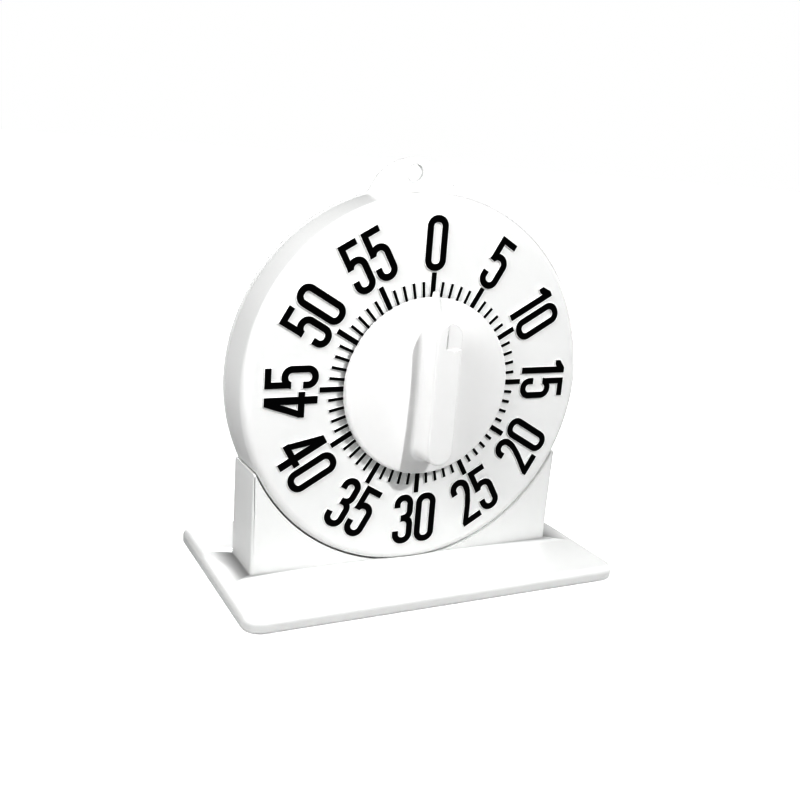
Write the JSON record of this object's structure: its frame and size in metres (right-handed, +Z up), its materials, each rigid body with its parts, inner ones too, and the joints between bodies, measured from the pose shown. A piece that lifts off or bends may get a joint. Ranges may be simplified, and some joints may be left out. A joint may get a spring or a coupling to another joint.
{
  "type": "mechanical dial timer",
  "caption": "Round white sixty minute wind-up timer with raised black numerals, a grip-bar knob and a hanging tab, standing in a lift-out stand.",
  "frame": {"origin": "centre of the stand's footprint on the table", "axes": "+Z up, the dial faces -Y, +X to the right seen from the front"},
  "size_m": [0.194, 0.112, 0.198],
  "materials": {
    "white_stand": "moulded, glossy",
    "white_case": "moulded, glossy",
    "white_knob": "moulded, glossy",
    "white_cover": "moulded, satin",
    "black_foil": "hot stamped black",
    "rubber": "black rubber",
    "zinc": "zinc plated",
    "steel": "bright",
    "spring_steel": "blued",
    "brass": "stamped",
    "gong_chrome": "plated"
  },
  "bodies": {
    "stand": {"stand": "white_stand", "rubber_feet": "rubber"},
    "case": {"front_housing": "white_case", "dial_markings": "black_foil", "rear_cover": "white_cover", "cover_screws": "zinc", "front_plate": "zinc", "rear_plate": "zinc", "plate_pillars": "steel", "pillar_nuts": "brass", "movement_screws": "zinc", "mainspring": "spring_steel", "spring_post": "steel", "gong": "gong_chrome", "gong_screw": "zinc", "hammer_stud": "steel", "hammer_spring": "spring_steel"},
    "dial_knob": {"knob": "white_knob", "main_arbor": "steel", "arbor_clip": "steel", "main_wheel": "brass", "ratchet_wheel": "steel", "click": "steel", "alarm_cam": "brass"},
    "second_shaft": {"second_arbor": "steel", "second_wheel": "brass"},
    "third_shaft": {"third_arbor": "steel", "third_wheel": "brass"},
    "escape_shaft": {"escape_arbor": "steel", "escape_wheel": "brass"},
    "verge": {"verge_arbor": "steel", "pallet_fork": "steel", "balance_wheel": "brass"},
    "hammer": {"hammer_lever": "steel", "hammer_head": "brass"}
  },
  "joints": [
    {"name": "case_lift", "type": "slide", "parent": "stand", "child": "case", "axis": [0, 0, 1], "range_m": [0, 0.2]},
    {"name": "knob_turn", "type": "hinge", "parent": "case", "child": "dial_knob", "pos_m": [0, -0.015, 0.0944], "axis": [0, 1, 0], "range_deg": [0, 360]},
    {"name": "second_spin", "type": "hinge", "parent": "case", "child": "second_shaft", "pos_m": [-0.02007, -0.002, 0.08035], "axis": [0, 1, 0], "range_deg": [-2160, 0]},
    {"name": "third_spin", "type": "hinge", "parent": "case", "child": "third_shaft", "pos_m": [-0.00608, -0.002, 0.06902], "axis": [0, 1, 0], "range_deg": [0, 10800]},
    {"name": "escape_spin", "type": "hinge", "parent": "case", "child": "escape_shaft", "pos_m": [0.00761, -0.002, 0.07193], "axis": [0, 1, 0], "range_deg": [-64800, 0]},
    {"name": "verge_swing", "type": "hinge", "parent": "case", "child": "verge", "pos_m": [0.01885, -0.002, 0.07923], "axis": [0, 1, 0], "range_deg": [-3, 3]},
    {"name": "hammer_swing", "type": "hinge", "parent": "case", "child": "hammer", "pos_m": [0.02, 0.0068, 0.1064], "axis": [0, -1, 0], "range_deg": [0, 8]}
  ],
  "couplings": [
    {"joint": "second_spin", "follows": "knob_turn", "ratio": -6},
    {"joint": "third_spin", "follows": "knob_turn", "ratio": 30},
    {"joint": "escape_spin", "follows": "knob_turn", "ratio": -180}
  ]
}
